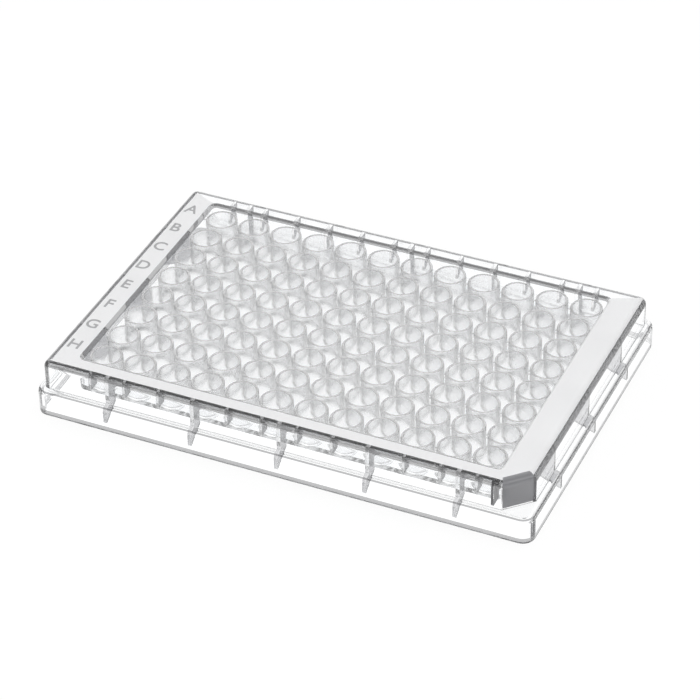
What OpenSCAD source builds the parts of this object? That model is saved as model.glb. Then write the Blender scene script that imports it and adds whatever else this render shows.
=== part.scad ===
// Ninety-six-well plate with round-bottomed chimney wells.
// One clear moulding: a stepped skirt, a raised frame round the wells, a deck
// that carries the wells, and the ribs that stiffen the hollow border.
// Origin: centre of the footprint, on the surface the plate stands on.
// Column 1 is at -X, row A at +Y, and the wells open upwards.

/* [Footprint] */
// Length of the skirt along the columns' row
plate_l = 127.76; // [127.26:0.01:128.26]
// Width of the skirt
plate_w = 85.48; // [84.98:0.01:85.98]
// Height from the resting edge to the top of the frame
plate_h = 14.6; // [14:0.1:15.1]
// Height of the skirt's ledge
skirt_h = 7; // [6.6:0.1:7.4]
// Corner radius of the skirt, seen from above
skirt_corner_r = 3.18; // [2.6:0.01:3.8]
// Thickness of the skirt and of the frame's outer wall
wall = 1.2; // [1:0.1:1.4]

/* [Frame] */
// Step from the skirt's face in to the frame's face
frame_step = 1.8; // [1.4:0.1:2.2]
// Thickness of the frame's top band
band_t = 1.1; // [0.9:0.1:1.4]
// Corner radius of the frame, seen from above
frame_corner_r = 1.8; // [1.4:0.1:2.4]
// Leg of the corner cut that marks the plate's orientation
key_cut = 6; // [4:0.5:7]

/* [Wells] */
// Number of wells along the plate
columns = 12; // [2:1:12]
// Number of wells across the plate
rows = 8; // [2:1:8]
// Spacing of the wells' axes
pitch = 9; // [8.8:0.05:9]
// Bore radius of a well
well_r = 3.4; // [3:0.05:3.5]
// Wall thickness of a well
well_wall = 0.65; // [0.5:0.05:0.7]
// Height of the lowest point of a well's outside
well_foot_z = 3.2; // [3:0.1:3.8]
// Thickness of the round bottom at its lowest point
well_floor = 0.9; // [0.7:0.05:1.1]
// Drop from the frame's top to the wells' mouths
mouth_drop = 1; // [0.6:0.1:1.6]

/* [Deck] */
// Height of the deck's underside
deck_z = 6.2; // [5.8:0.1:6.4]
// Thickness of the deck
deck_t = 1; // [0.8:0.1:1.2]
// Thickness of the wall round the wells
inner_wall = 1; // [0.8:0.05:1.1]
// Gap between the outermost wells and the wall round them
well_margin = 0.18; // [0.1:0.02:0.4]

/* [Ribs] */
// Thickness of the ribs in the border
rib_t = 1; // [0.8:0.1:1.2]
// Spacing of the full-height ribs
rib_pitch = 22.5; // [22:0.1:23]
// Height of the ribs' lower edge
rib_foot_z = 2; // [1.5:0.1:3]
// Thickness of the small webs under the front and back bands
web_t = 0.7; // [0.5:0.1:0.9]
// Depth of the small webs below the band
web_h = 4; // [2:0.5:5]

/* [Hidden] */

$fn = 48;
eps = 0.05;                                  // overlap of joined shapes
well_or = well_r + well_wall;                // outer radius of a well
mouth_z = plate_h - mouth_drop;
band_z = plate_h - band_t;                   // underside of the top band
frame_l = plate_l - 2 * frame_step;
frame_w = plate_w - 2 * frame_step;
field_l = pitch * (columns - 1) + 2 * (well_or + well_margin);   // inside of the inner wall
field_w = pitch * (rows - 1) + 2 * (well_or + well_margin);
box_l = field_l + 2 * inner_wall;            // outside of the inner wall
box_w = field_w + 2 * inner_wall;
end_ribs = 5;                                // full ribs along each long side
side_ribs = 3;                               // full ribs along each short side

// Outline of a rectangle with round corners, centred
module round_rect(l, w, r) {
    square([l - 2 * r, w], center = true);
    square([l, w - 2 * r], center = true);
    for (x = [-1, 1], y = [-1, 1])
        translate([x * (l / 2 - r), y * (w / 2 - r)]) circle(r);
}

// Outline of the frame: round corners, and one cut off at +X -Y
module frame_outline(inset = 0) {
    l = frame_l - 2 * inset;
    w = frame_w - 2 * inset;
    cut = key_cut - inset * (2 - sqrt(2));
    difference() {
        round_rect(l, w, frame_corner_r - inset * 0.8);
        translate([l / 2, -w / 2]) rotate(45)
            square([4 * cut, cut * sqrt(2)], center = true);
    }
}

// Shell that runs round the foot and ends in the ledge
module skirt() {
    difference() {
        linear_extrude(skirt_h) round_rect(plate_l, plate_w, skirt_corner_r);
        translate([0, 0, -eps]) linear_extrude(skirt_h - wall + eps)
            round_rect(plate_l - 2 * wall, plate_w - 2 * wall, skirt_corner_r - wall);
        linear_extrude(skirt_h + eps) frame_outline(wall);
    }
}

// Raised frame: outer wall, and the top band as far in as the inner wall
module frame() {
    difference() {
        translate([0, 0, skirt_h - wall]) linear_extrude(plate_h - skirt_h + wall) frame_outline();
        linear_extrude(band_z) frame_outline(wall);
        linear_extrude(plate_h + eps) square([field_l, field_w], center = true);
    }
}

// Wall round the field of wells, from the deck up to the top band
module inner_box() {
    translate([0, 0, deck_z]) linear_extrude(band_z + eps - deck_z) difference() {
        square([box_l, box_w], center = true);
        square([field_l, field_w], center = true);
    }
    translate([0, 0, deck_z]) linear_extrude(deck_t)
        square([field_l + eps, field_w + eps], center = true);
}

// Puts its children at every well's axis
module at_wells() {
    for (i = [0 : columns - 1], j = [0 : rows - 1])
        translate([(i - (columns - 1) / 2) * pitch, (j - (rows - 1) / 2) * pitch, 0]) children();
}

// Upright rod with a round lower end
module round_ended(r, low, high) {
    translate([0, 0, low + r]) {
        sphere(r);
        cylinder(r = r, h = high - low - r);
    }
}

// Ribs between the outer shell and the inner wall, on all four sides
module ribs() {
    rib_h = band_z + eps - rib_foot_z;
    long_d = (plate_w - box_w) / 2 - wall + 2 * eps;
    short_d = (plate_l - box_l) / 2 - wall + 2 * eps;
    intersection() {
        union() {
            for (i = [0 : end_ribs - 1], side = [-1, 1])
                translate([(i - (end_ribs - 1) / 2) * rib_pitch - rib_t / 2,
                           side * ((box_w + long_d) / 2 - eps) - long_d / 2, rib_foot_z])
                    cube([rib_t, long_d, rib_h]);
            for (j = [0 : side_ribs - 1], side = [-1, 1])
                translate([side * ((box_l + short_d) / 2 - eps) - short_d / 2,
                           (j - (side_ribs - 1) / 2) * rib_pitch - rib_t / 2, rib_foot_z])
                    cube([short_d, rib_t, rib_h]);
        }
        union() {
            linear_extrude(plate_h) frame_outline(wall - eps);
            linear_extrude(skirt_h - wall + eps)
                square([plate_l - 2 * wall + 2 * eps, plate_w - 2 * wall + 2 * eps], center = true);
        }
    }
}

// Small webs under the front and back bands, one at each column of wells
module band_webs() {
    depth = (frame_w - box_w) / 2 - wall + 2 * eps;
    for (i = [0 : columns - 1], side = [-1, 1])
        translate([(i - (columns - 1) / 2) * pitch - web_t / 2,
                   side * ((box_w + depth) / 2 - eps) - depth / 2, band_z - web_h])
            cube([web_t, depth, web_h + eps]);
}

// The whole moulding
module well_plate() {
    color([0.9, 0.92, 0.94, 0.35]) difference() {
        union() {
            skirt();
            frame();
            inner_box();
            ribs();
            band_webs();
            at_wells() round_ended(well_or, well_foot_z, mouth_z);
        }
        at_wells() round_ended(well_r, well_foot_z + well_floor, mouth_z + eps);
    }
}

well_plate();
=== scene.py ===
"""Looks of the ninety-six-well plate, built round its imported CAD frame.

The plate is one clear polystyrene moulding.  Its visible mesh is worked out
here as surfaces: the hollow border is a profile carried round the plate, the
wells and the deck are one grid of cells, and the ribs are prisms.  They are
joined into one closed shell that stands for the CAD node of the same solid.
Lengths in the classes are millimetres; meshes are made in metres.
"""

import logging
import math
from dataclasses import dataclass, field
from enum import Enum
from typing import ClassVar

import bmesh
import bpy
import numpy as np
from mathutils import Matrix, Vector

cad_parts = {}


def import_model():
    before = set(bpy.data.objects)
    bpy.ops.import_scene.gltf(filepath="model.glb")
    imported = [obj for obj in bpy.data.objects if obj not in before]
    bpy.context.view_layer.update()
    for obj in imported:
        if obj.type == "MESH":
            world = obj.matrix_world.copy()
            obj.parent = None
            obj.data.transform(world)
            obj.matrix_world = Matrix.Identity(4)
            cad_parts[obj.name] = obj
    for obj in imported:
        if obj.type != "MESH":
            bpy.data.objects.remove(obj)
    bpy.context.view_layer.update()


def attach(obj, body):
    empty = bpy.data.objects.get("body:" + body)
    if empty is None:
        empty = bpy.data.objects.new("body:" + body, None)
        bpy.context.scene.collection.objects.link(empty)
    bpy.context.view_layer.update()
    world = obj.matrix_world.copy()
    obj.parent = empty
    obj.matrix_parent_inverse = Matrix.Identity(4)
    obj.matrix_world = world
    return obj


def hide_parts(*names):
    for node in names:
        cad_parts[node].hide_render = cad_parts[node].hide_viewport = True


LOG = logging.getLogger("well_plate")
# Metres in a millimetre.
MM = 0.001
# Shared sizes of the moulding, in millimetres.
PLATE_H = 14.6
DECK_Z = 6.2
PITCH = 9.0
# Points of a shell are merged on a grid of this many steps a millimetre.
MERGE_GRID = 1e4
# Places nearer than this count as the same, in millimetres.
NEAR = 1e-6
# Light bounces of each kind: a look through the plate passes many walls.
BOUNCES = 32


class Finish(Enum):
    """Surface finishes of the mould, some of them grey tints that paint shade, in the order of
    the plate's material slots.
    """

    CLEAR = 0
    FROSTED = 1
    GROUND_AND_SHADE = 2
    KEY = 3
    EDGE = 4
    RIM_SHADE = 5
    SATIN = 6
    LETTER = 7


@dataclass(frozen=True)
class Shell:
    """A closed surface as arrays.

    Attributes:
        points: vertices, one row of x, y and z each, in millimetres.
        faces: quads as rows of four indices; a triangle repeats its last one.
        finish: slot of each face, or one slot for all of them.
    """

    points: np.ndarray
    faces: np.ndarray
    finish: np.ndarray | int = Finish.CLEAR.value


def to_mesh(name: str, shell: Shell) -> bpy.types.Object:
    """Puts a shell into a mesh object at the origin.

    Points that coincide are merged, and a corner that falls on the next one is
    dropped, so that quads which meet an axis become triangles.

    Args:
        name: name of the object and its mesh.
        shell: the surface, in millimetres.

    Returns:
        The new object, linked to the scene.
    """
    keys = np.round(shell.points * MERGE_GRID).astype(np.int64)
    _, first, back = np.unique(keys, axis=0, return_index=True, return_inverse=True)
    faces = back.reshape(-1)[shell.faces]
    kept = faces != np.roll(faces, -1, axis=1)
    whole = kept.sum(axis=1) > 2
    faces, kept = faces[whole], kept[whole]
    finish = np.broadcast_to(shell.finish, whole.shape)[whole]
    sides = kept.sum(axis=1)
    mesh = bpy.data.meshes.new(name)
    mesh.vertices.add(len(first))
    mesh.vertices.foreach_set("co", (shell.points[first] * MM).astype(np.float32).ravel())
    mesh.loops.add(int(sides.sum()))
    mesh.loops.foreach_set("vertex_index", faces[kept].astype(np.int32))
    mesh.polygons.add(len(sides))
    mesh.polygons.foreach_set("loop_start", (np.cumsum(sides) - sides).astype(np.int32))
    mesh.polygons.foreach_set("material_index", finish.astype(np.int32))
    mesh.update(calc_edges=True)
    piece = bpy.data.objects.new(name, mesh)
    bpy.context.scene.collection.objects.link(piece)
    return piece


def weld(mesh: bpy.types.Mesh, gap: float = 1e-4) -> None:
    """Merges points that coincide, and takes out faces and edges without any size.

    Args:
        mesh: the mesh, changed in place.
        gap: greatest distance that counts as coinciding, in millimetres.
    """
    work = bmesh.new()
    work.from_mesh(mesh)
    bmesh.ops.remove_doubles(work, verts=work.verts, dist=gap * MM)
    bmesh.ops.dissolve_degenerate(work, dist=gap * MM, edges=work.edges)
    work.to_mesh(mesh)
    work.free()


@dataclass(frozen=True)
class Ring:
    """Plan outline that the border's profile is measured from.

    Attributes:
        half_l: half of its length along X.
        half_w: half of its width along Y.
        radius: radius of its corners.
        cut: leg of the corner cut at +X -Y, or 0 for a round corner.
        cut_r: radius of the upright edges of that cut.
        least_r: smallest radius that an inward step leaves on a corner.
    """

    half_l: float
    half_w: float
    radius: float
    cut: float = 0.0
    cut_r: float = 0.3
    least_r: float = 0.15

    def outline(self, step: np.ndarray, arc: int) -> np.ndarray:
        """Outline points for each inward step.

        A corner is two arcs of an eighth turn.  Their centres lie together on
        a round corner, and stand apart by the cut's length on a cut one.

        Args:
            step: inward step of each profile point, (n,).
            arc: number of points on an eighth turn.

        Returns:
            Points x and y, (n, 8 * arc, 2), anticlockwise from the cut corner.
        """
        eighth = math.tan(math.pi / 8)
        a, b = self.half_l - step, self.half_w - step
        plain_r = np.maximum(self.radius - step, self.least_r)
        cut_r = np.full_like(plain_r, self.cut_r) if self.cut else plain_r
        angle = np.linspace(0, math.pi / 4, arc)

        def quarter(leg: np.ndarray, r: np.ndarray) -> np.ndarray:
            """The corner at +X +Y, as two arcs from its X side to its Y side.

            Args:
                leg: leg of the 45 degree cut whose two ends the arcs round off.
                r: radius of the arcs.

            Returns:
                Points x and y, (n, 2 * arc, 2).
            """
            t = r * eighth
            low = np.stack(
                [
                    (a - r)[:, None] + r[:, None] * np.cos(angle),
                    (b - leg - t)[:, None] + r[:, None] * np.sin(angle),
                ],
                axis=-1,
            )
            turned = angle + math.pi / 4
            high = np.stack(
                [
                    (a - leg - t)[:, None] + r[:, None] * np.cos(turned),
                    (b - r)[:, None] + r[:, None] * np.sin(turned),
                ],
                axis=-1,
            )
            return np.concatenate([low, high], axis=1)

        spread = 2 - math.sqrt(2)
        cut = np.maximum(self.cut - step * spread, cut_r * spread)
        corner = quarter(plain_r * spread, plain_r)
        return np.concatenate(
            [
                (quarter(cut, cut_r) * [1, -1])[:, ::-1],
                corner,
                (corner * [-1, 1])[:, ::-1],
                corner * [-1, -1],
            ],
            axis=1,
        )


@dataclass(frozen=True)
class Knee:
    """One corner of the border's profile, rounded by a circular arc.

    Attributes:
        ring: the outline it is measured from.
        step: step inward from that outline.
        z: height.
        radius: radius of the rounding.
    """

    ring: Ring
    step: float
    z: float
    radius: float


@dataclass(frozen=True)
class SideFinish:
    """Finishes of the border's top along one side, with painted shade among them.

    Attributes:
        edge: outer rounding, one finish for each strip of faces from the wall up.
        flat: flat top of the band.
        lip: rounding at the opening.
    """

    edge: tuple[Finish, ...]
    flat: Finish
    lip: Finish


@dataclass(frozen=True)
class Border:
    """Hollow border: skirt, ledge, frame wall, top band and inner wall.

    Attributes:
        plate_l: length of the skirt.
        plate_w: width of the skirt.
        plate_h: height of the top band.
        skirt_h: height of the ledge.
        skirt_r: corner radius of the skirt in plan.
        wall: thickness of the skirt and of the frame's wall.
        frame_step: step from the skirt in to the frame.
        frame_r: corner radius of the frame in plan.
        key_cut: leg of the frame's cut corner.
        band_t: thickness of the top band.
        field_l: length of the opening round the wells.
        field_w: width of that opening.
        field_r: corner radius of that opening in plan.
        inner_wall: thickness of the wall round the wells.
        deck_z: height of the deck's underside.
        edge_r: rounding of the frame's top edge.
        lip_r: rounding at the opening.
        ledge_r: rounding where the skirt bends into the ledge, outside.
        bend_r: the same inside.
        fillet_r: rounding of inside corners.
        foot_r: rounding of the lower edges inside.
        toe_r: rounding of the skirt's lower edge outside.
        seat_r: rounding where the opening's wall meets the deck's underside.
        foot_line: height of the strip of painted shade along the skirt's foot.
        arc: points on an eighth turn of a corner in plan.
        turn: points on a quarter turn of a corner of the profile.
    """

    plate_l: float = 127.76
    plate_w: float = 85.48
    plate_h: float = PLATE_H
    skirt_h: float = 7.0
    skirt_r: float = 3.18
    wall: float = 1.2
    frame_step: float = 1.8
    frame_r: float = 1.8
    key_cut: float = 6.0
    band_t: float = 1.1
    field_l: float = 107.46
    field_w: float = 71.46
    field_r: float = 1.0
    inner_wall: float = 1.0
    deck_z: float = DECK_Z
    edge_r: float = 2.0
    lip_r: float = 0.9
    ledge_r: float = 1.4
    bend_r: float = 0.5
    fillet_r: float = 0.3
    foot_r: float = 0.15
    toe_r: float = 0.15
    seat_r: float = 0.05
    foot_line: float = 1.5
    arc: int = 5
    turn: int = 6
    # Places of the named corners in the list of knees.
    FOOT_KNEE: ClassVar[int] = 1
    LEDGE_KNEE: ClassVar[int] = 2
    EDGE_KNEE: ClassVar[int] = 4
    LIP_KNEE: ClassVar[int] = 5
    # The right end, the back, the left end and the front; their dark finishes paint shade on
    # edges and lips.
    SIDES: ClassVar[tuple[SideFinish, ...]] = (
        SideFinish((Finish.RIM_SHADE,) * 3 + (Finish.FROSTED,) * 2, Finish.FROSTED, Finish.FROSTED),
        SideFinish((Finish.EDGE,) * 5, Finish.CLEAR, Finish.EDGE),
        SideFinish((Finish.RIM_SHADE,) * 5, Finish.FROSTED, Finish.EDGE),
        SideFinish(
            (Finish.CLEAR, Finish.EDGE, Finish.EDGE, Finish.GROUND_AND_SHADE, Finish.FROSTED),
            Finish.FROSTED,
            Finish.EDGE,
        ),
    )

    def knees(self) -> list[Knee]:
        """Corners of the profile, from the foot outside, over the top, and back inside.

        Returns:
            The corners in order, each with the outline it is measured from.
        """
        skirt = Ring(self.plate_l / 2, self.plate_w / 2, self.skirt_r)
        frame = Ring(
            self.plate_l / 2 - self.frame_step,
            self.plate_w / 2 - self.frame_step,
            self.frame_r,
            self.key_cut,
        )
        opening = Ring(self.field_l / 2, self.field_w / 2, self.field_r)
        band = self.plate_h - self.band_t
        under = self.skirt_h - self.wall
        return [
            Knee(skirt, 0, 0, self.toe_r),
            Knee(skirt, 0, self.foot_line, 0),
            Knee(skirt, 0, self.skirt_h, self.ledge_r),
            Knee(frame, 0, self.skirt_h, self.fillet_r),
            Knee(frame, 0, self.plate_h, self.edge_r),
            Knee(opening, 0, self.plate_h, self.lip_r),
            Knee(opening, 0, self.deck_z, self.seat_r),
            Knee(opening, -self.inner_wall, self.deck_z, self.foot_r),
            Knee(opening, -self.inner_wall, band, self.fillet_r),
            Knee(frame, self.wall, band, self.fillet_r),
            Knee(frame, self.wall, under, self.foot_r),
            Knee(skirt, self.wall, under, self.bend_r),
            Knee(skirt, self.wall, 0, self.foot_r),
        ]

    def shell(self) -> Shell:
        """The border as its rounded profile carried round the plate.

        Every profile point has an outline of its own with the same number of
        points, so that the surface is a grid closed in both directions.  A
        rounded corner of the profile is a quarter circle between a flat
        stretch and an upright one.

        Returns:
            The closed shell.
        """
        knees = self.knees()
        rows = []
        for index, knee in enumerate(knees):
            before, after = knees[index - 1], knees[(index + 1) % len(knees)]
            arriving = self._heading(before, knee)
            leaving = self._heading(knee, after)
            angle = np.linspace(0, math.pi / 2, self.turn)[:, None]
            away = (1 - np.sin(angle)) * knee.radius
            along = (1 - np.cos(angle)) * knee.radius
            local = np.array([[knee.step, knee.z]]) - arriving * away + leaving * along
            plan = knee.ring.outline(local[:, 0], self.arc)
            height = np.broadcast_to(local[:, 1, None, None], plan.shape[:2] + (1,))
            rows.append(np.concatenate([plan, height], axis=-1))
        grid = np.concatenate(rows)
        count, around = grid.shape[:2]
        i, j = np.meshgrid(np.arange(count), np.arange(around), indexing="ij")
        k, m = (i + 1) % count, (j + 1) % around
        low, high = i * around, k * around
        quads = np.stack([low + j, low + m, high + m, high + j], axis=-1).reshape(-1, 4)
        return Shell(grid.reshape(-1, 3), quads, self._finish(count, around).ravel())

    def _finish(self, count: int, around: int) -> np.ndarray:
        """Finish of each face of the grid.

        The outline starts at the cut corner and then passes the right end,
        the back, the left end and the front.  Each side goes on to the middle
        of the corners beside it.  Shade is painted on the upright walls where
        they bend away from the two ends, on the skirt's foot, on the middle
        strip of the ledge's rounding and on the cut corner's facet.  A knee's
        faces start at its number times the points of a quarter turn, and the
        face before them is the flat or upright stretch that leads to it.

        Args:
            count: number of profile points.
            around: number of outline points.

        Returns:
            Slots of the finishes, (count, around).
        """
        finish = np.full((count, around), Finish.CLEAR.value)
        foot, ledge = self.turn * self.FOOT_KNEE, self.turn * self.LEDGE_KNEE
        edge, lip = self.turn * self.EDGE_KNEE, self.turn * self.LIP_KNEE
        # Painted shade: dark strips on the skirt's foot and along the middle of the ledge's
        # rounding.
        finish[foot - 1] = Finish.EDGE.value
        finish[ledge + self.turn // 2 - 1] = Finish.EDGE.value
        # Painted shade on the upright walls where they bend away from the two ends.
        off = np.abs(np.abs(np.arange(around) - 4 * self.arc + 1) - 2 * self.arc)
        bend = (off > 0) & (off < self.arc - 1)
        finish[ledge - 1, bend] = finish[edge - 1, bend] = Finish.RIM_SHADE.value
        side = (np.arange(around) - self.arc) % around // (2 * self.arc)
        for number, look in enumerate(self.SIDES):
            here = side == number
            for strip, part in enumerate(look.edge):
                finish[edge + strip, here] = part.value
            finish[lip - 1, here] = look.flat.value
            finish[lip : lip + self.turn - 1, here] = look.lip.value
        # Painted shade on the cut corner's facet and its rounding.
        finish[edge - 1 : edge + self.turn - 1, self.arc - 1] = Finish.KEY.value
        return finish

    @staticmethod
    def _heading(start: Knee, end: Knee) -> np.ndarray:
        """Direction of the profile from one corner to the next.

        Args:
            start: the one corner.
            end: the next one, straight above, below or beside it.

        Returns:
            Unit vector of inward step and height, (1, 2).
        """
        if abs(end.z - start.z) > NEAR:
            return np.array([[0.0, math.copysign(1, end.z - start.z)]])
        reach = (start.ring.half_w - start.step) - (end.ring.half_w - end.step)
        return np.array([[math.copysign(1, reach), 0.0]])


@dataclass(frozen=True)
class WellField:
    """Deck with the chimney wells, each a cell of one pitch square.

    Attributes:
        columns: wells along X.
        rows: wells along Y.
        pitch: spacing of the wells' axes.
        bore_r: radius of the bore and of its round bottom.
        well_wall: thickness of a well's wall.
        foot_z: height of a well's lowest point outside.
        floor_t: thickness of the round bottom at its lowest point.
        mouth_z: height of the mouths.
        deck_z: height of the deck's underside.
        deck_t: thickness of the deck.
        mouth_r: rounding of the mouth.
        root_r: fillet where a well stands on the deck.
        neck_h: how far under the deck the round bottom's arc ends.
        neck_r: how much wider the well is where it meets the deck's underside.
        around: points round a well.
        dome: strips of the round bottom.
        bend: points on a mouth's or a root's rounding.
    """

    columns: int = 12
    rows: int = 8
    pitch: float = PITCH
    bore_r: float = 3.4
    well_wall: float = 0.65
    foot_z: float = 3.2
    floor_t: float = 0.9
    mouth_z: float = 13.6
    deck_z: float = DECK_Z
    deck_t: float = 1.0
    mouth_r: float = 0.2
    root_r: float = 0.3
    neck_h: float = 0.1
    neck_r: float = 0.12
    around: int = 32
    dome: int = 8
    bend: int = 3

    def centres(self) -> np.ndarray:
        """Axes of the wells, row by row.

        Returns:
            Points x and y, (columns * rows, 2).
        """
        x = (np.arange(self.columns) - (self.columns - 1) / 2) * self.pitch
        y = (np.arange(self.rows) - (self.rows - 1) / 2) * self.pitch
        return np.stack(np.meshgrid(x, y), axis=-1).reshape(-1, 2)

    @staticmethod
    def _arc(
        r: float, z: float, radius: float, start: float, end: float, count: int
    ) -> np.ndarray:
        """Points of an arc in a well's half profile.

        Args:
            r: distance of the arc's centre from the well's axis.
            z: height of that centre.
            radius: radius of the arc.
            start: angle of its first point above the outward direction, in degrees.
            end: angle of its last point.
            count: number of points.

        Returns:
            Points as distance from the axis and height, (count, 2).
        """
        angle = np.radians(np.linspace(start, end, count))
        return np.stack([r + radius * np.cos(angle), z + radius * np.sin(angle)], axis=-1)

    def upper(self) -> np.ndarray:
        """Half profile of what faces up: bore from its lowest point, mouth, chimney and root.

        Returns:
            Points as distance from the axis and height.
        """
        out = self.bore_r + self.well_wall
        low = self.foot_z + self.floor_t + self.bore_r
        top = self.deck_z + self.deck_t
        m, f = self.mouth_r, self.root_r
        return np.concatenate(
            [
                self._arc(0, low, self.bore_r, -90, 0, self.dome + 1),
                self._arc(self.bore_r + m, self.mouth_z - m, m, 180, 90, self.bend),
                self._arc(out - m, self.mouth_z - m, m, 90, 0, self.bend),
                self._arc(out + f, top + f, f, 180, 270, self.bend),
            ]
        )

    def lower(self) -> np.ndarray:
        """Half profile of what faces down: the round bottom from its lowest point to the deck.

        The arc ends where its height is the deck's underside less the neck:
        the sine of that angle is the height above the ball's centre over its
        radius.

        Returns:
            Points as distance from the axis and height.
        """
        out = self.bore_r + self.well_wall
        low = self.foot_z + out
        rise = (self.deck_z - self.neck_h - low) / out
        meets = math.degrees(math.asin(max(-1.0, min(0.0, rise))))
        edge = math.cos(math.radians(meets)) * out
        return np.concatenate(
            [
                self._arc(0, low, out, -90, meets, self.dome + 1),
                np.array([[edge + self.neck_r, self.deck_z]]),
            ]
        )

    def shell(self) -> Shell:
        """Deck and wells as one closed surface.

        A cell is its half profile turned round the well's axis, and then a
        ring of quads from the last circle to the edge of the cell's square.
        Upper and lower surfaces meet in an upright strip round the deck.

        Returns:
            The closed shell.
        """
        angle = np.arange(self.around) * 2 * math.pi / self.around
        way = np.stack([np.cos(angle), np.sin(angle)], axis=-1)
        square = way * (self.pitch / 2) / np.abs(way).max(axis=1)[:, None]
        j = np.arange(self.around)
        m = (j + 1) % self.around
        mouth = self.dome + 1
        root = mouth + 2 * self.bend
        centres = self.centres()
        points, faces, finish, rims, start = [], [], [], [], 0
        for profile, z, up in (
            (self.upper(), self.deck_z + self.deck_t, True),
            (self.lower(), self.deck_z, False),
        ):
            turned = profile[:, 0, None, None] * way
            flat = np.concatenate([turned, square[None]])
            height = np.append(profile[:, 1], z)
            height = np.broadcast_to(height[:, None, None], flat.shape[:2] + (1,))
            cell = np.concatenate([flat, height], axis=-1)
            rings = len(cell)
            shift = np.concatenate([centres, np.zeros((len(centres), 1))], axis=1)
            every = (cell[None] + shift[:, None, None]).reshape(-1, 3)
            i = np.arange(rings - 1)[:, None]
            a, b = i * self.around + j, (i + 1) * self.around + j
            c, d = (i + 1) * self.around + m, i * self.around + m
            quads = np.stack([a, b, c, d] if up else [a, d, c, b], axis=-1).reshape(-1, 4)
            offset = start + np.arange(len(centres))[:, None, None] * rings * self.around
            points.append(every)
            faces.append((quads[None] + offset).reshape(-1, 4))
            slot = np.full((len(centres), rings - 1, self.around), Finish.CLEAR.value)
            if up:
                slot[:, mouth:root] = Finish.SATIN.value
            finish.append(slot.ravel())
            rims.append(offset.reshape(-1, 1) + (rings - 1) * self.around + j)
            start += len(every)
        upper, lower = rims
        strip = np.stack([upper, lower, lower[:, m], upper[:, m]], axis=-1)
        side = strip[self._on_side(centres[:, None] + square, m)]
        faces.append(side)
        finish.append(np.full(len(side), Finish.CLEAR.value))
        return Shell(np.concatenate(points), np.concatenate(faces), np.concatenate(finish))

    def _on_side(self, at: np.ndarray, following: np.ndarray) -> np.ndarray:
        """Which points lie on a side of the deck together with the point after them.

        Args:
            at: points x and y round each cell, (cells, around, 2).
            following: index of the next point round the cell, (around,).

        Returns:
            One truth value a point, (cells, around).
        """
        half = np.array([self.columns, self.rows]) * self.pitch / 2
        here = np.abs(np.abs(at) - half) < NEAR
        return (here & here[:, following]).any(axis=-1)


@dataclass(frozen=True)
class Ribs:
    """Full-height ribs in the border, and the small webs under the long bands.

    Attributes:
        rib_t: thickness of a rib.
        rib_pitch: spacing of the ribs.
        rib_foot_z: height of a rib's lower edge at the skirt.
        rib_root_z: height of that edge at the inner wall.
        long_ribs: ribs on each long side.
        short_ribs: ribs on each short side.
        web_t: thickness of a web.
        web_h: depth of a web below the band.
        key_gap: distance of the last web from the cut corner.
        overlap: how far ribs and webs reach into the walls they join.
    """

    rib_t: float = 1.0
    rib_pitch: float = 22.5
    rib_foot_z: float = 2.0
    rib_root_z: float = 5.5
    long_ribs: int = 5
    short_ribs: int = 3
    web_t: float = 0.7
    web_h: float = 4.0
    key_gap: float = 2.2
    overlap: float = 0.15

    def prism(
        self,
        outline: np.ndarray,
        at: float,
        thick: float,
        turn: int,
        finish: Finish = Finish.GROUND_AND_SHADE,
    ) -> Shell:
        """An upright plate between the outer shell and the inner wall.

        Args:
            outline: corners as distance from the plate's centre and height, anticlockwise.
            at: place of its middle along the side.
            thick: its thickness.
            turn: quarter turns from the side at -Y.
            finish: its finish; the default is rough ground plastic with painted shade in its
                grey tint.

        Returns:
            The closed prism, its outline swept along the side.
        """
        n = len(outline)
        along = np.repeat([at - thick / 2, at + thick / 2], n)
        out, z = np.tile(outline, (2, 1)).T
        points = np.stack([along, -out, z], axis=-1)
        c, s = [(1, 0), (0, 1), (-1, 0), (0, -1)][turn]
        points[:, :2] = points[:, :2] @ np.array([[c, s], [-s, c]])
        j = np.arange(n)
        m = (j + 1) % n
        sides = np.stack([j, m, m + n, j + n], axis=-1)
        caps = np.stack([np.zeros(n - 2, int), j[1:-1], j[2:], j[2:]], axis=-1)
        faces = np.concatenate([sides, caps[:, ::-1], caps + n])
        return Shell(points, faces, finish.value)

    def shells(self, border: Border, wells: WellField) -> list[Shell]:
        """All ribs and webs, and the web beside the cut corner as the last one.

        Args:
            border: the border they stand in.
            wells: the wells whose columns the webs follow.

        Returns:
            One closed prism each.
        """
        lap, wall = self.overlap, border.wall
        top = border.plate_h - border.band_t + lap
        ledge = border.skirt_h - wall + lap
        made = []
        long_side = (self.long_ribs, border.plate_w / 2, border.field_w / 2)
        short_side = (self.short_ribs, border.plate_l / 2, border.field_l / 2)
        for turn, (count, outer, opening) in enumerate((long_side, short_side) * 2):
            skirt = outer - wall + lap
            frame = outer - border.frame_step - wall + lap
            inner = opening + border.inner_wall - lap
            outline = np.array(
                [
                    (inner, self.rib_root_z),
                    (skirt, self.rib_foot_z),
                    (skirt, ledge),
                    (frame, ledge),
                    (frame, top),
                    (inner, top),
                ]
            )
            for k in range(count):
                at = (k - (count - 1) / 2) * self.rib_pitch
                made.append(self.prism(outline, at, self.rib_t, turn))
            if turn % 2 == 0:
                low = top - lap - self.web_h
                web = np.array([(inner, low), (frame, low), (frame, top), (inner, top)])
                for k in range(wells.columns):
                    at = (k - (wells.columns - 1) / 2) * wells.pitch
                    made.append(self.prism(web, at, self.web_t, turn))
        frame = border.plate_w / 2 - border.frame_step - wall + lap
        inner = border.field_w / 2 + border.inner_wall - lap
        foot = border.skirt_h
        web = np.array([(inner, foot), (frame, foot), (frame, top), (inner, top)])
        edge = border.plate_l / 2 - border.frame_step - border.key_cut
        at = edge - self.key_gap - self.web_t / 2
        # The web beside the cut corner gets the same painted shade.
        made.append(self.prism(web, at, self.web_t, 0, Finish.KEY))
        return made


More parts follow.
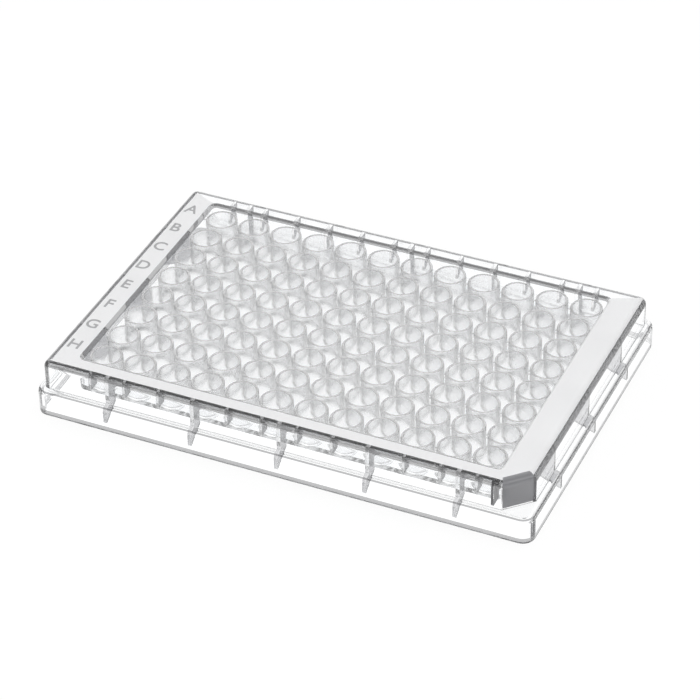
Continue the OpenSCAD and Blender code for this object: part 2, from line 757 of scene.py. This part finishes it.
@dataclass
class WellPlate:
    """The whole moulding, as one closed shell.

    Attributes:
        border: the hollow border.
        wells: the deck with its wells.
        ribs: the ribs and webs.
        smooth_below: angle between faces up to which an edge is shaded soft, in degrees.
        evenness: how strongly large faces pull the shading of soft edges.
    """

    border: Border = field(default_factory=Border)
    wells: WellField = field(default_factory=WellField)
    ribs: Ribs = field(default_factory=Ribs)
    smooth_below: float = 32.0
    evenness: int = 50

    def build(self, slots: list[bpy.types.Material]) -> bpy.types.Object:
        """Joins border, wells and ribs, and gives the result soft and sharp edges.

        Args:
            slots: materials in the order of the finishes.

        Returns:
            The finished plate.
        """
        plate = to_mesh("plate", self.border.shell())
        self._outward(plate)
        tools = []
        for index, shell in enumerate(self.ribs.shells(self.border, self.wells)):
            tools.append(to_mesh(f"rib_{index}", shell))
        tools.append(to_mesh("wells", self.wells.shell()))
        for piece in (plate, *tools):
            for material in slots:
                piece.data.materials.append(material)
        for tool in tools:
            self._outward(tool)
            joint = plate.modifiers.new(tool.name, "BOOLEAN")
            joint.operation = "UNION"
            joint.solver = "MANIFOLD"
            joint.object = tool
        self._apply(plate)
        for tool in tools:
            mesh = tool.data
            bpy.data.objects.remove(tool)
            bpy.data.meshes.remove(mesh)
        weld(plate.data)
        plate.data.shade_smooth()
        plate.data.set_sharp_from_angle(angle=math.radians(self.smooth_below))
        even = plate.modifiers.new("even", "WEIGHTED_NORMAL")
        even.mode = "FACE_AREA"
        even.weight = self.evenness
        even.keep_sharp = True
        self._apply(plate)
        return plate

    @staticmethod
    def _outward(piece: bpy.types.Object) -> None:
        """Turns a closed piece's faces outward.

        The volume is a sixth of the sum of each triangle's scalar triple
        product, and comes out negative where the faces look inward.

        Args:
            piece: the piece, changed in place.
        """
        mesh = piece.data
        mesh.calc_loop_triangles()
        co = np.empty(len(mesh.vertices) * 3, np.float32)
        mesh.vertices.foreach_get("co", co)
        tri = np.empty(len(mesh.loop_triangles) * 3, np.int32)
        mesh.loop_triangles.foreach_get("vertices", tri)
        a, b, c = co.reshape(-1, 3).astype(float)[tri.reshape(-1, 3)].transpose(1, 0, 2)
        if np.einsum("ij,ij->", a, np.cross(b, c)) < 0:
            mesh.flip_normals()

    @staticmethod
    def _apply(piece: bpy.types.Object) -> None:
        """Replaces a piece's mesh by what its modifiers make of it.

        Args:
            piece: the piece, changed in place.
        """
        graph = bpy.context.evaluated_depsgraph_get()
        made = bpy.data.meshes.new_from_object(piece.evaluated_get(graph))
        old = piece.data
        piece.modifiers.clear()
        piece.data = made
        bpy.data.meshes.remove(old)


@dataclass(frozen=True)
class Polystyrene:
    """One finish of the clear moulding, or a grey tint of it that paints shade.

    Attributes:
        name: name of the material.
        tint: colour of the plastic; on the grey finishes it is painted shade.
        rough: roughness, and how much the grain adds to it.
        through: how much of the light goes through instead of scattering.
        grain: size of the grain in millimetres.
        relief: strength of the grain's relief.
        lamp_tint: share of the lamps' light that passes.
        ior: index of refraction.
        depth: height of the relief at full strength, in millimetres.
    """

    name: str
    tint: tuple[float, float, float]
    rough: tuple[float, float]
    through: float
    grain: float
    relief: float
    lamp_tint: float
    ior: float = 1.59
    depth: float = 0.1

    def material(self, grain: bpy.types.NodeTree) -> bpy.types.Material:
        """The node material.

        Args:
            grain: the node group that works out colour, roughness and relief.

        Returns:
            A plastic that lets lamps light what lies under it.
        """
        made = bpy.data.materials.new(self.name)
        made.use_nodes = True
        tree = made.node_tree
        tree.nodes.clear()
        new, link = tree.nodes.new, tree.links.new
        out = new("ShaderNodeOutputMaterial")
        mix = new("ShaderNodeMixShader")
        body = new("ShaderNodeBsdfPrincipled")
        body.inputs["IOR"].default_value = self.ior
        body.inputs["Transmission Weight"].default_value = self.through
        look = new("ShaderNodeGroup")
        look.node_tree = grain
        look.inputs["Tint"].default_value = (*self.tint, 1)
        look.inputs["Scale"].default_value = 1 / (self.grain * MM)
        look.inputs["Smooth"].default_value = self.rough[0]
        look.inputs["Rough"].default_value = self.rough[1]
        where = new("ShaderNodeTexCoord")
        bump = new("ShaderNodeBump")
        bump.inputs["Strength"].default_value = self.relief
        bump.inputs["Distance"].default_value = self.depth * MM
        link(where.outputs["Object"], look.inputs["Place"])
        link(look.outputs["Colour"], body.inputs["Base Color"])
        link(look.outputs["Roughness"], body.inputs["Roughness"])
        link(look.outputs["Height"], bump.inputs["Height"])
        link(bump.outputs["Normal"], body.inputs["Normal"])
        through = new("ShaderNodeBsdfTransparent")
        through.inputs["Color"].default_value = (self.lamp_tint,) * 3 + (1,)
        path = new("ShaderNodeLightPath")
        either = new("ShaderNodeMath")
        either.operation = "MAXIMUM"
        link(path.outputs["Is Shadow Ray"], either.inputs[0])
        link(path.outputs["Is Diffuse Ray"], either.inputs[1])
        link(either.outputs[0], mix.inputs["Fac"])
        link(body.outputs["BSDF"], mix.inputs[1])
        link(through.outputs["BSDF"], mix.inputs[2])
        link(mix.outputs["Shader"], out.inputs["Surface"])
        return made


FINISHES = {
    Finish.CLEAR: Polystyrene(
        "clear_polystyrene", (0.985, 0.99, 0.995), (0.0, 0.02), 1.0, 9.0, 0.02, 0.88
    ),
    Finish.FROSTED: Polystyrene(
        "frosted_polystyrene", (0.95, 0.952, 0.96), (0.45, 0.6), 0.1, 0.35, 0.2, 0.85
    ),
    # Rough ground plastic whose grey tint paints shade on the ribs and on one strip of the front
    # edge.
    Finish.GROUND_AND_SHADE: Polystyrene(
        "ground_and_shade_polystyrene", (0.52, 0.52, 0.535), (0.2, 0.3), 1.0, 0.5, 0.1, 0.9
    ),
    # Dark matt grey that paints the shade of the cut corner's facet and of the web beside it.
    Finish.KEY: Polystyrene(
        "shaded_polystyrene", (0.27, 0.27, 0.285), (0.35, 0.5), 0.3, 0.5, 0.1, 0.8
    ),
    # Dark grey tint that paints shade on rounded edges, lips, the skirt's foot and the ledge.
    Finish.EDGE: Polystyrene(
        "edge_shade_polystyrene", (0.22, 0.22, 0.225), (0.02, 0.08), 1.0, 2.0, 0.05, 0.85
    ),
    # Near-black tint that paints deep shade on the walls' bends and on some outer roundings.
    Finish.RIM_SHADE: Polystyrene(
        "rim_shade_polystyrene", (0.11, 0.11, 0.115), (0.02, 0.08), 1.0, 2.0, 0.05, 0.85
    ),
    Finish.SATIN: Polystyrene(
        "satin_polystyrene", (0.99, 0.99, 0.993), (0.2, 0.31), 1.0, 1.5, 0.05, 0.9
    ),
    Finish.LETTER: Polystyrene(
        "letter_polystyrene", (0.4, 0.4, 0.41), (0.4, 0.5), 0.1, 0.4, 0.1, 0.9
    ),
}


@dataclass(frozen=True)
class Grain:
    """Grain of the plastic, shared by all its finishes.

    Attributes:
        detail: detail of the fine noise.
        coarse_scale: scale of the coarse noise.
        fine_share: share of the fine noise in the sum of both.
        shade: greatest change of the tint either way.
    """

    detail: float = 3.0
    coarse_scale: float = 60.0
    fine_share: float = 0.6
    shade: float = 0.03

    def group(self) -> bpy.types.NodeTree:
        """The node group of the grain.

        A fine noise works on a coarse one: together they shade the tint by a few
        parts in a hundred, choose between the smooth and the rough value, and give
        the height of the relief.

        Returns:
            The group, with colour, roughness and height as its outputs.
        """
        made_group = bpy.data.node_groups.new("plastic_grain", "ShaderNodeTree")
        face = made_group.interface
        for name, kind in (
            ("Place", "NodeSocketVector"),
            ("Tint", "NodeSocketColor"),
            ("Scale", "NodeSocketFloat"),
            ("Smooth", "NodeSocketFloat"),
            ("Rough", "NodeSocketFloat"),
        ):
            face.new_socket(name=name, in_out="INPUT", socket_type=kind)
        for name, kind in (
            ("Colour", "NodeSocketColor"),
            ("Roughness", "NodeSocketFloat"),
            ("Height", "NodeSocketFloat"),
        ):
            face.new_socket(name=name, in_out="OUTPUT", socket_type=kind)
        new, link = made_group.nodes.new, made_group.links.new
        given, made = new("NodeGroupInput"), new("NodeGroupOutput")
        fine = new("ShaderNodeTexNoise")
        fine.inputs["Detail"].default_value = self.detail
        coarse = new("ShaderNodeTexNoise")
        coarse.inputs["Scale"].default_value = self.coarse_scale
        both = new("ShaderNodeMath")
        both.operation = "MULTIPLY_ADD"
        both.inputs[1].default_value = self.fine_share
        share = new("ShaderNodeMath")
        share.operation = "MULTIPLY"
        share.inputs[1].default_value = 1 - self.fine_share
        level = new("ShaderNodeMapRange")
        shade = new("ShaderNodeMapRange")
        shade.inputs["To Min"].default_value = 1 - self.shade
        shade.inputs["To Max"].default_value = 1 + self.shade
        colour = new("ShaderNodeVectorMath")
        colour.operation = "SCALE"
        for noise in (fine, coarse):
            link(given.outputs["Place"], noise.inputs["Vector"])
        link(given.outputs["Scale"], fine.inputs["Scale"])
        link(coarse.outputs["Fac"], share.inputs[0])
        link(fine.outputs["Fac"], both.inputs[0])
        link(share.outputs[0], both.inputs[2])
        link(both.outputs[0], level.inputs["Value"])
        link(given.outputs["Smooth"], level.inputs["To Min"])
        link(given.outputs["Rough"], level.inputs["To Max"])
        link(both.outputs[0], shade.inputs["Value"])
        link(given.outputs["Tint"], colour.inputs[0])
        link(shade.outputs[0], colour.inputs["Scale"])
        link(colour.outputs[0], made.inputs["Colour"])
        link(level.outputs[0], made.inputs["Roughness"])
        link(both.outputs[0], made.inputs["Height"])
        return made_group


@dataclass(frozen=True)
class RowLetters:
    """Raised letters of the rows on the left end band, one mesh each.

    Attributes:
        text: the letters, from the back to the front.
        x: place of their middle along X.
        pitch: their spacing.
        size: size of the type.
        relief: thickness of a letter.
        bold: how much its outline is widened.
        sunk: how deep a letter stands in the band.
        smooth: steps of the outline's curves.
        plate_h: height of the band.
    """

    text: str = "ABCDEFGH"
    x: float = -57.9
    pitch: float = PITCH
    size: float = 4.9
    relief: float = 0.05
    bold: float = 0.06
    sunk: float = 0.01
    smooth: int = 6
    plate_h: float = PLATE_H

    def build(self, ink: bpy.types.Material) -> list[bpy.types.Object]:
        """Makes the letters, row A nearest the back.

        Args:
            ink: their material.

        Returns:
            One object for each letter.
        """
        made = []
        for row, letter in enumerate(self.text):
            curve = bpy.data.curves.new(f"row_{letter}", "FONT")
            curve.body = letter
            curve.size = self.size * MM
            curve.extrude = self.relief / 2 * MM
            curve.offset = self.bold * MM
            curve.align_x = "CENTER"
            curve.resolution_u = self.smooth
            drawn = bpy.data.objects.new(f"row_{letter}_drawn", curve)
            bpy.context.scene.collection.objects.link(drawn)
            graph = bpy.context.evaluated_depsgraph_get()
            mesh = bpy.data.meshes.new_from_object(drawn.evaluated_get(graph))
            bpy.data.objects.remove(drawn)
            bpy.data.curves.remove(curve)
            points = np.empty(len(mesh.vertices) * 3, np.float32)
            mesh.vertices.foreach_get("co", points)
            points = points.reshape(-1, 3)
            middle = (points.max(axis=0) + points.min(axis=0)) / 2
            y = ((len(self.text) - 1) / 2 - row) * self.pitch
            place = np.array([self.x, y, self.plate_h + self.relief / 2 - self.sunk]) * MM
            mesh.vertices.foreach_set("co", (points - middle + place).astype(np.float32).ravel())
            mesh.materials.clear()
            mesh.materials.append(ink)
            weld(mesh)
            piece = bpy.data.objects.new(f"row_{letter}", mesh)
            bpy.context.scene.collection.objects.link(piece)
            made.append(piece)
        return made


@dataclass(frozen=True)
class Lamp:
    """One soft square lamp that shines at the plate.

    Attributes:
        name: its name.
        place: its place, in metres.
        side: length of its side, in metres.
        watts: its power.
    """

    name: str
    place: tuple[float, float, float]
    side: float
    watts: float


@dataclass(frozen=True)
class View:
    """Place and lens of the camera.

    Attributes:
        azimuth: direction it looks from, in degrees from +X.
        height: angle above the floor, in degrees.
        roll: turn about its own axis, in degrees.
        target: point it looks at, in millimetres.
        distance: distance from that point, in metres.
        sensor: width of the sensor, in millimetres.
        lens: focal length, in millimetres.
    """

    azimuth: float = -65.43
    height: float = 36.5
    roll: float = -0.97
    target: tuple[float, float, float] = (-0.32, 1.26, 7.0)
    distance: float = 0.7152
    sensor: float = 36.0
    lens: float = 151.09


@dataclass(frozen=True)
class Studio:
    """Pale floor, soft lamps, an even bright sky, and the camera.

    Attributes:
        fill: strength of the sky for the light that it throws.
        surround: strength of the sky as seen in and through the plastic.
        floor_colour: grey of the floor, which takes the shadow.
        glow: the floor's own light to the camera.
        glow_through: the floor's own light in and through the plastic.
        floor_side: length of the floor's side, in metres.
        floor_drop: gap between the floor and the plate, in millimetres.
        view: the camera's place and lens.
    """

    fill: float = 0.3
    surround: float = 0.95
    floor_colour: float = 0.15
    glow: float = 0.87
    glow_through: float = 1.0
    floor_side: float = 8.0
    floor_drop: float = 0.1
    view: View = View()
    LAMPS: ClassVar[tuple[Lamp, ...]] = (
        Lamp("overhead_lamp", (0.1, 0.3, 1.2), 0.9, 7.0),
        Lamp("front_lamp", (0.2, -1.0, 0.9), 0.9, 8.0),
        Lamp("side_lamp", (-1.0, 0.5, 0.7), 0.6, 2.0),
    )

    def world(self) -> None:
        """Makes the sky.

        It is white to the camera, slightly less in and through the plastic,
        and a weak fill light for everything else.
        """
        world = bpy.data.worlds.new("studio")
        bpy.context.scene.world = world
        world.use_nodes = True
        tree = world.node_tree
        tree.nodes.clear()
        new, link = tree.nodes.new, tree.links.new
        out = new("ShaderNodeOutputWorld")
        sky = new("ShaderNodeBackground")
        path = new("ShaderNodeLightPath")
        seen = new("ShaderNodeMath")
        seen.operation = "MAXIMUM"
        plastic = new("ShaderNodeMath")
        plastic.operation = "MULTIPLY_ADD"
        plastic.inputs[1].default_value = self.surround - self.fill
        plastic.inputs[2].default_value = self.fill
        white = new("ShaderNodeMix")
        white.inputs["B"].default_value = 1.0
        link(path.outputs["Is Glossy Ray"], seen.inputs[0])
        link(path.outputs["Is Transmission Ray"], seen.inputs[1])
        link(seen.outputs[0], plastic.inputs[0])
        link(plastic.outputs[0], white.inputs["A"])
        link(path.outputs["Is Camera Ray"], white.inputs["Factor"])
        link(white.outputs["Result"], sky.inputs["Strength"])
        link(sky.outputs[0], out.inputs["Surface"])

    def floor(self) -> bpy.types.Object:
        """Makes the floor, which keeps the plate's shadow and else shows white.

        Returns:
            The floor.
        """
        half = self.floor_side / 2
        mesh = bpy.data.meshes.new("floor")
        square = [(-half, -half, 0), (half, -half, 0), (half, half, 0), (-half, half, 0)]
        mesh.from_pydata(square, [], [(0, 1, 2, 3)])
        floor = bpy.data.objects.new("floor", mesh)
        bpy.context.scene.collection.objects.link(floor)
        floor.location.z = -self.floor_drop * MM
        made = bpy.data.materials.new("floor_paper")
        made.use_nodes = True
        tree = made.node_tree
        tree.nodes.clear()
        new, link = tree.nodes.new, tree.links.new
        out = new("ShaderNodeOutputMaterial")
        paper = new("ShaderNodeBsdfDiffuse")
        paper.inputs["Color"].default_value = (self.floor_colour,) * 3 + (1,)
        glow = new("ShaderNodeEmission")
        both = new("ShaderNodeAddShader")
        path = new("ShaderNodeLightPath")
        through = new("ShaderNodeMath")
        through.operation = "MAXIMUM"
        level = new("ShaderNodeMath")
        level.operation = "MULTIPLY"
        level.inputs[1].default_value = self.glow_through
        direct = new("ShaderNodeMath")
        direct.operation = "MULTIPLY_ADD"
        direct.inputs[1].default_value = self.glow
        link(path.outputs["Is Glossy Ray"], through.inputs[0])
        link(path.outputs["Is Transmission Ray"], through.inputs[1])
        link(through.outputs[0], level.inputs[0])
        link(path.outputs["Is Camera Ray"], direct.inputs[0])
        link(level.outputs[0], direct.inputs[2])
        link(direct.outputs[0], glow.inputs["Strength"])
        link(paper.outputs[0], both.inputs[0])
        link(glow.outputs[0], both.inputs[1])
        link(both.outputs[0], out.inputs["Surface"])
        mesh.materials.append(made)
        return floor

    def lamps(self) -> None:
        """Hangs the lamps: overhead, in front, and a weak one behind the left end.

        The plastic neither mirrors them nor shows them through itself.
        """
        for lamp in self.LAMPS:
            data = bpy.data.lights.new(lamp.name, "AREA")
            data.size = lamp.side
            data.energy = lamp.watts
            hung = bpy.data.objects.new(lamp.name, data)
            hung.visible_glossy = hung.visible_transmission = False
            bpy.context.scene.collection.objects.link(hung)
            hung.location = lamp.place
            hung.rotation_euler = (-Vector(lamp.place)).to_track_quat("-Z", "Y").to_euler()

    def camera(self) -> bpy.types.Object:
        """Makes the camera, looking down on the plate from its H side.

        Returns:
            The camera.
        """
        view = self.view
        azimuth, height = math.radians(view.azimuth), math.radians(view.height)
        roll = math.radians(view.roll)
        back = Vector(
            (
                math.cos(height) * math.cos(azimuth),
                math.cos(height) * math.sin(azimuth),
                math.sin(height),
            )
        )
        right = Vector((-math.sin(azimuth), math.cos(azimuth), 0))
        up = back.cross(right)
        across = right * math.cos(roll) + up * math.sin(roll)
        upward = up * math.cos(roll) - right * math.sin(roll)
        data = bpy.data.cameras.new("camera")
        data.sensor_width = view.sensor
        data.lens = view.lens
        camera = bpy.data.objects.new("camera", data)
        bpy.context.scene.collection.objects.link(camera)
        place = Vector(view.target) * MM + back * view.distance
        turn = Matrix((across, upward, back)).transposed().to_4x4()
        camera.matrix_world = Matrix.Translation(place) @ turn
        bpy.context.scene.camera = camera
        return camera


def main() -> None:
    """Builds the plate, its letters and the studio."""
    logging.basicConfig(level=logging.INFO, format="%(name)s: %(message)s")
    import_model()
    scene = bpy.context.scene
    scene.view_settings.view_transform = "Standard"
    scene.cycles.max_bounces = BOUNCES
    scene.cycles.transmission_bounces = BOUNCES
    scene.cycles.glossy_bounces = BOUNCES
    scene.cycles.transparent_max_bounces = BOUNCES
    grain = Grain().group()
    slots = [FINISHES[finish].material(grain) for finish in Finish]
    plate = WellPlate().build(slots[: Finish.LETTER.value])
    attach(plate, "root")
    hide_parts("well_plate")
    LOG.info("plate: %d faces", len(plate.data.polygons))
    for letter in RowLetters().build(slots[Finish.LETTER.value]):
        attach(letter, "root")
        LOG.info("%s: %d faces", letter.name, len(letter.data.polygons))
    studio = Studio()
    studio.world()
    studio.floor()
    studio.lamps()
    studio.camera()


if __name__ == "__main__":
    main()
